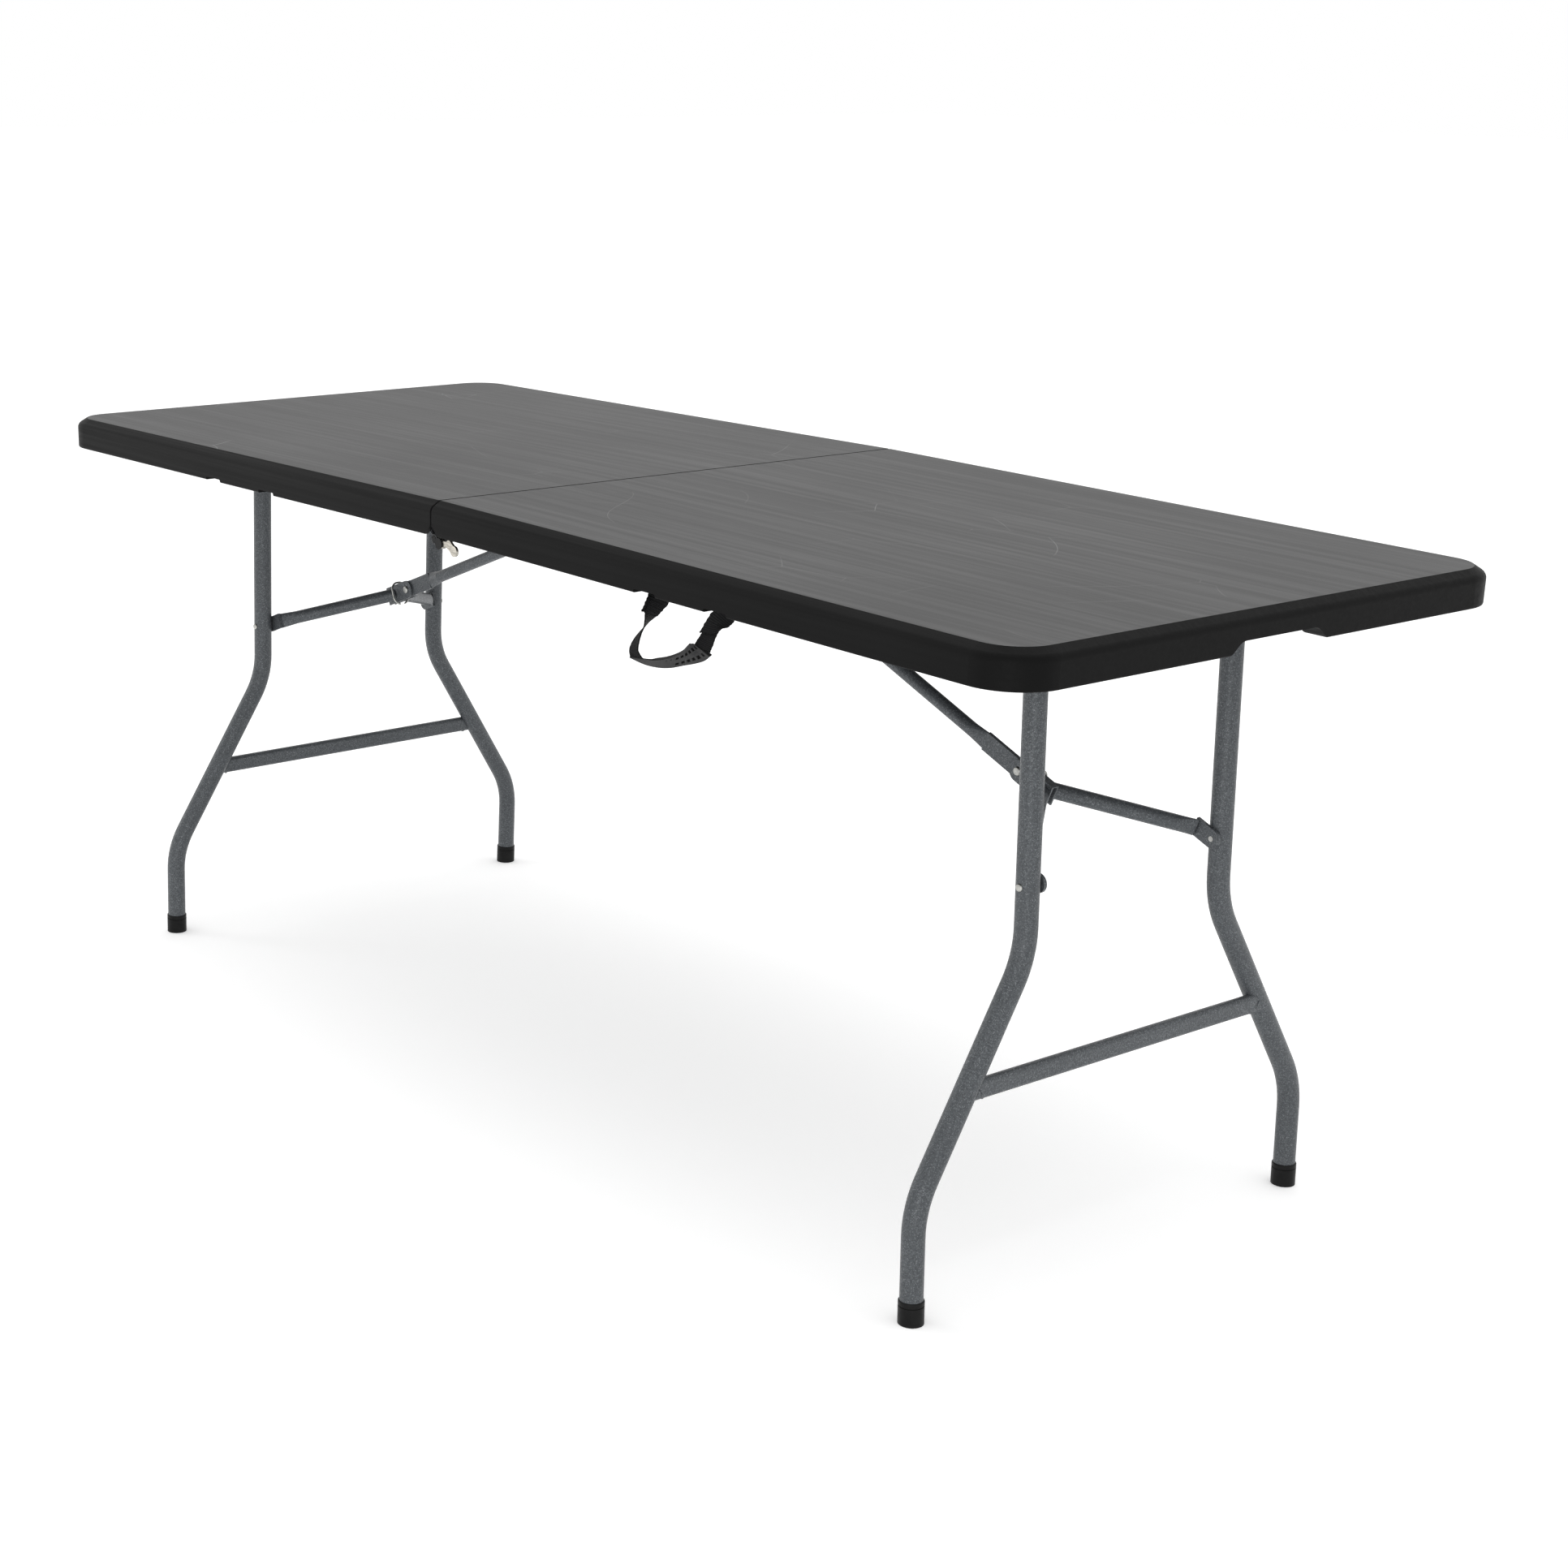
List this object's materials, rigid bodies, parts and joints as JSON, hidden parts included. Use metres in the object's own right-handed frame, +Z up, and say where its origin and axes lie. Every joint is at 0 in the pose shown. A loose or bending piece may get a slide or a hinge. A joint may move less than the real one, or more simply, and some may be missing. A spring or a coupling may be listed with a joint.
{
  "type": "folding table",
  "caption": "Rectangular fold-in-half utility table with a dark moulded plastic top in two hinged halves, folding wishbone steel legs with knee braces and a webbing carry handle.",
  "frame": {"origin": "floor level under the middle of the table", "axes": "+X along the table towards the half with the carry handle, +Y across it to the back, away from the handle, +Z up"},
  "size_m": [1.8298, 0.74, 0.748],
  "materials": {
    "moulded_top": "blow-moulded polyethylene, dark grey, fine scuffs along the length",
    "hammered_powder_coat": "hammered grey powder coat with a light speckle",
    "rail_paint": "dark powder coat",
    "zinc_plated_steel": "zinc plated, dull",
    "bare_steel": "stamped bare steel",
    "black_plastic": "injection-moulded, semi-matte",
    "nylon_webbing": "black woven webbing",
    "grip_plastic": "moulded, with rows of square dimples"
  },
  "bodies": {
    "left_half": {"tabletop_left": "moulded_top", "rail_left_front": "rail_paint", "rail_left_back": "rail_paint", "hinge_leaf_left_front": "hammered_powder_coat", "hinge_leaf_left_back": "hammered_powder_coat", "hinge_rivets_left": "zinc_plated_steel", "pivot_saddles_left": "black_plastic", "rail_screws_left": "zinc_plated_steel", "bracket_screws_left": "zinc_plated_steel", "brace_bracket_left": "hammered_powder_coat", "brace_pin_left": "zinc_plated_steel", "hinge_pin_front": "zinc_plated_steel", "hinge_pin_back": "zinc_plated_steel"},
    "right_half": {"tabletop_right": "moulded_top", "rail_right_front": "rail_paint", "rail_right_back": "rail_paint", "hinge_leaf_right_front": "hammered_powder_coat", "hinge_leaf_right_back": "hammered_powder_coat", "hinge_rivets_right": "zinc_plated_steel", "pivot_saddles_right": "black_plastic", "rail_screws_right": "zinc_plated_steel", "bracket_screws_right": "zinc_plated_steel", "brace_bracket_right": "hammered_powder_coat", "brace_pin_right": "zinc_plated_steel", "handle_rods": "zinc_plated_steel", "latch_pivot": "zinc_plated_steel"},
    "leg_frame_right": {"leg_tube_right_front": "hammered_powder_coat", "leg_tube_right_back": "hammered_powder_coat", "leg_pivot_tube_right": "hammered_powder_coat", "crossbar_right": "hammered_powder_coat", "foot_cap_right_front": "black_plastic", "foot_cap_right_back": "black_plastic", "leg_rivets_right": "zinc_plated_steel"},
    "leg_frame_left": {"leg_tube_left_front": "hammered_powder_coat", "leg_tube_left_back": "hammered_powder_coat", "leg_pivot_tube_left": "hammered_powder_coat", "crossbar_left": "hammered_powder_coat", "foot_cap_left_front": "black_plastic", "foot_cap_left_back": "black_plastic", "leg_rivets_left": "zinc_plated_steel"},
    "brace_right": {"brace_tube_right": "hammered_powder_coat", "knee_rivet_right": "zinc_plated_steel"},
    "brace_left": {"brace_tube_left": "hammered_powder_coat", "knee_rivet_left": "zinc_plated_steel"},
    "arms_right": {"knee_channel_right": "hammered_powder_coat", "arm_right_front": "hammered_powder_coat", "arm_right_back": "hammered_powder_coat", "arm_rivets_right": "zinc_plated_steel"},
    "arms_left": {"knee_channel_left": "hammered_powder_coat", "arm_left_front": "hammered_powder_coat", "arm_left_back": "hammered_powder_coat", "arm_rivets_left": "zinc_plated_steel"},
    "ring_right": {"lock_ring_right": "zinc_plated_steel"},
    "ring_left": {"lock_ring_left": "zinc_plated_steel"},
    "latch": {"latch_lever": "bare_steel"},
    "handle": {"handle_strap_left": "nylon_webbing", "handle_strap_right": "nylon_webbing", "handle_grip": "grip_plastic"}
  },
  "joints": [
    {"name": "centre_fold", "type": "hinge", "parent": "left_half", "child": "right_half", "pos_m": [0, 0, 0.7037], "axis": [0, 1, 0], "range_deg": [0, 85]},
    {"name": "leg_fold_right", "type": "hinge", "parent": "right_half", "child": "leg_frame_right", "pos_m": [0.73811, 0, 0.71174], "axis": [0, 1, 0], "range_deg": [0, 92.4]},
    {"name": "brace_swing_right", "type": "hinge", "parent": "right_half", "child": "brace_right", "pos_m": [0.01985, 0, 0.73083], "axis": [0, -1, 0], "range_deg": [-1, 21.48]},
    {"name": "knee_right", "type": "hinge", "parent": "brace_right", "child": "arms_right", "pos_m": [0.591, 0, 0.50274], "axis": [0, 1, 0], "range_deg": [-1, 178.72]},
    {"name": "ring_slide_right", "type": "slide", "parent": "arms_right", "child": "ring_right", "axis": [-0.9287, 0, 0.3709], "range_m": [0, 0.028]},
    {"name": "leg_fold_left", "type": "hinge", "parent": "left_half", "child": "leg_frame_left", "pos_m": [-0.73811, 0, 0.71174], "axis": [0, -1, 0], "range_deg": [0, 92.4]},
    {"name": "brace_swing_left", "type": "hinge", "parent": "left_half", "child": "brace_left", "pos_m": [-0.01985, 0, 0.73083], "axis": [0, 1, 0], "range_deg": [-1, 21.48]},
    {"name": "knee_left", "type": "hinge", "parent": "brace_left", "child": "arms_left", "pos_m": [-0.591, 0, 0.50274], "axis": [0, -1, 0], "range_deg": [-1, 178.72]},
    {"name": "ring_slide_left", "type": "slide", "parent": "arms_left", "child": "ring_left", "axis": [0.9287, 0, 0.3709], "range_m": [0, 0.028]},
    {"name": "latch_swing", "type": "hinge", "parent": "right_half", "child": "latch", "pos_m": [0.0125, -0.3648, 0.7004], "axis": [0, 1, 0], "range_deg": [0, 25], "stiffness_Nm_per_rad": 0.05, "springref_deg": -11.46},
    {"name": "handle_swing", "type": "hinge", "parent": "right_half", "child": "handle", "pos_m": [0.44719, -0.352, 0.71069], "axis": [-1, 0, 0.0087], "range_deg": [-25, 30]}
  ],
  "couplings": [
    {"joint": "brace_swing_right", "follows": "leg_fold_right", "ratio": 0.2217},
    {"joint": "knee_right", "follows": "leg_fold_right", "ratio": 1.9233},
    {"joint": "brace_swing_left", "follows": "leg_fold_left", "ratio": 0.2217},
    {"joint": "knee_left", "follows": "leg_fold_left", "ratio": 1.9233}
  ]
}
